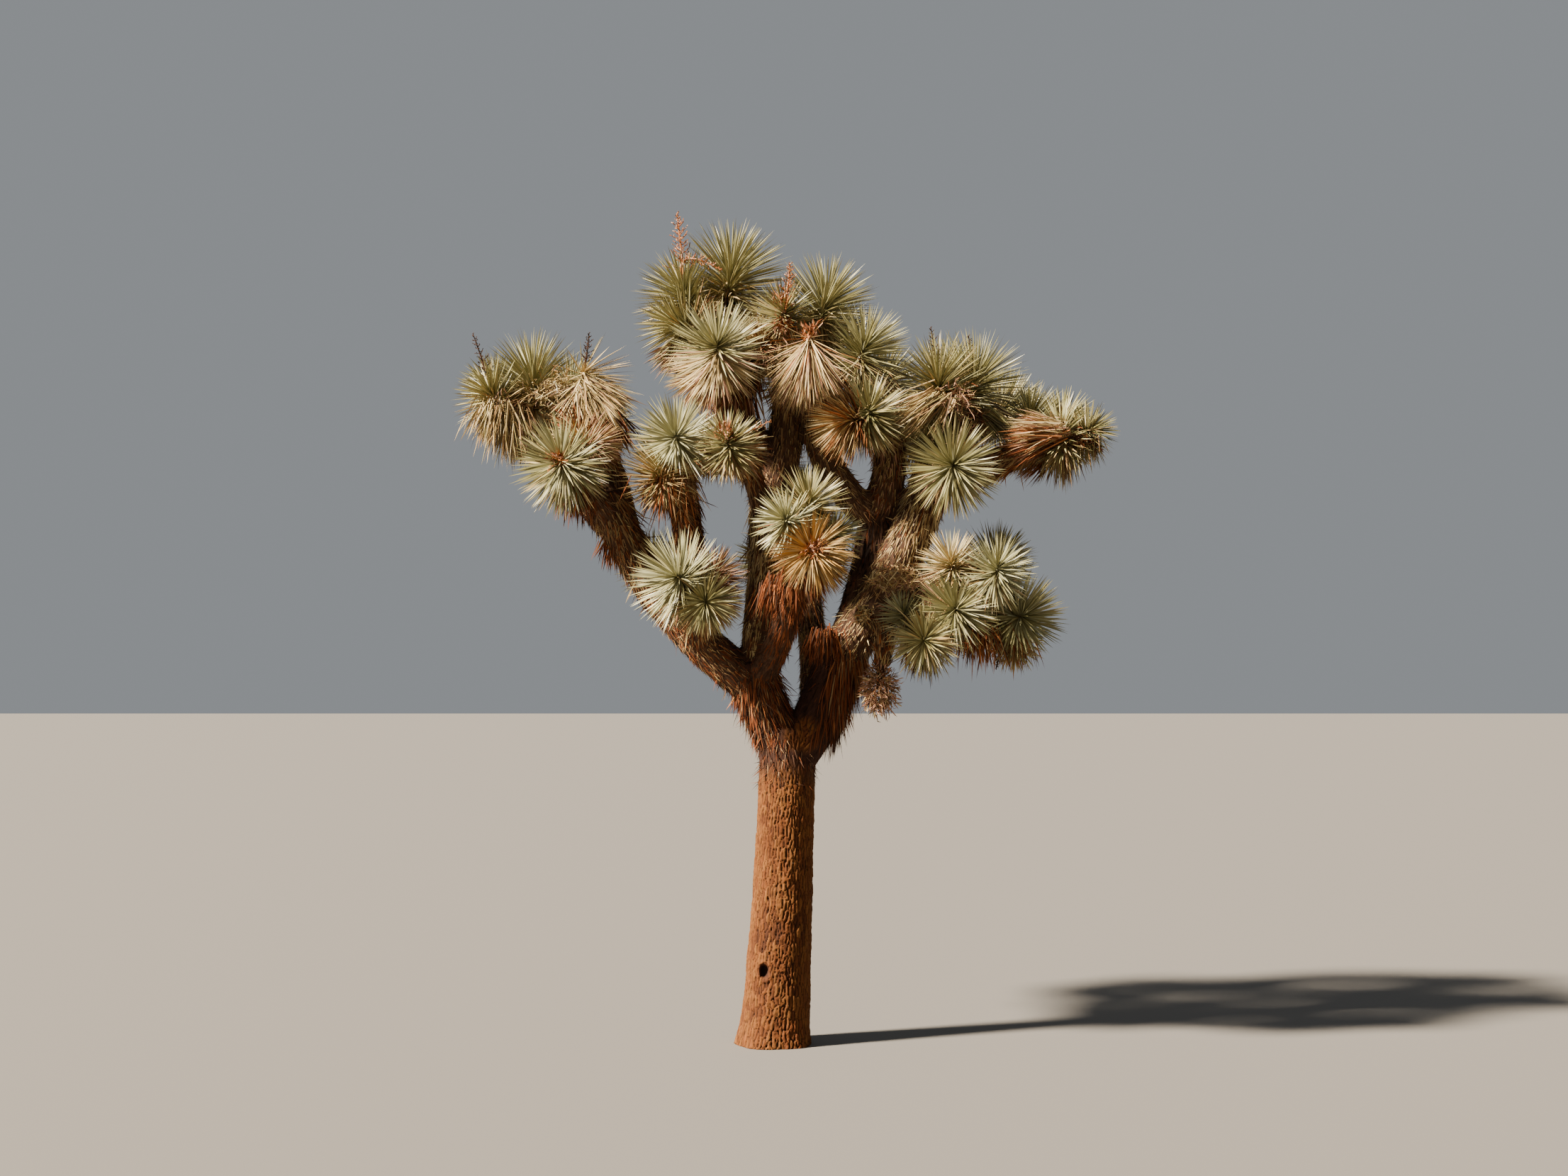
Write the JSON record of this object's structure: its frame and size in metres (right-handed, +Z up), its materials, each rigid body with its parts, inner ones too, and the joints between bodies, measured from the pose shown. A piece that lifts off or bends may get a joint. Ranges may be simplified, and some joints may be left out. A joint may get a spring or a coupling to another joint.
{
  "type": "joshua tree",
  "caption": "Tall desert tree yucca with a bare barked trunk, heavy forking boughs and round heads of stiff pointed leaves, some green and some dead and drooping.",
  "frame": {"origin": "middle of the flat cut under the trunk, at ground level", "axes": "+Z up along the trunk, +X to the tree's right and -Y towards the viewer, as the tree is seen in its picture"},
  "size_m": [3.8615, 2.2604, 4.8209],
  "materials": {
    "bark": "rough, blocky, fissured bark plates",
    "thatched_bark": "rough bark under dry hanging leaves",
    "leaves": "stiff, slightly waxy leaves",
    "dead_leaves": "dry, matt leaves"
  },
  "bodies": {
    "root": {"trunk": "bark", "bough_left": "thatched_bark", "bough_right": "thatched_bark", "bough_far_left": "thatched_bark", "bough_centre": "thatched_bark", "bough_right_inner": "thatched_bark", "bough_right_outer": "thatched_bark", "bough_back": "thatched_bark", "bough_back_left": "thatched_bark", "limb_left_upper": "thatched_bark", "limb_left_outer": "thatched_bark", "limb_left_front": "thatched_bark", "limb_left_low": "thatched_bark", "limb_left_mid": "thatched_bark", "limb_top": "thatched_bark", "limb_top_left": "thatched_bark", "limb_inner_left": "thatched_bark", "limb_front": "thatched_bark", "limb_top_right": "thatched_bark", "limb_upper_right": "thatched_bark", "limb_right_front": "thatched_bark", "limb_far_right": "thatched_bark", "limb_right_low": "thatched_bark", "limb_low_front": "thatched_bark", "limb_hanging": "thatched_bark", "limb_back_left_upper": "thatched_bark", "limb_left_back": "thatched_bark", "limb_back_top": "thatched_bark", "limb_back_top_right": "thatched_bark", "limb_back_right": "thatched_bark", "limb_back_right_low": "thatched_bark", "foliage_far_left": "leaves", "foliage_left_top": "dead_leaves", "foliage_left_front": "leaves", "foliage_left_low": "leaves", "foliage_left_mid": "leaves", "foliage_inner_left": "leaves", "foliage_top_left": "leaves", "foliage_top": "leaves", "foliage_top_right": "leaves", "foliage_upper_right": "leaves", "foliage_right_top": "leaves", "foliage_right_front": "leaves", "foliage_far_right": "leaves", "foliage_right_low": "leaves", "foliage_low_front": "leaves", "foliage_centre": "leaves", "foliage_hanging_dead": "dead_leaves", "foliage_back": "leaves", "foliage_back_left": "leaves", "foliage_back_left_upper": "leaves", "foliage_left_back": "leaves", "foliage_back_top": "leaves", "foliage_back_top_right": "leaves", "foliage_back_right": "leaves", "foliage_back_right_low": "leaves"}
  },
  "joints": []
}
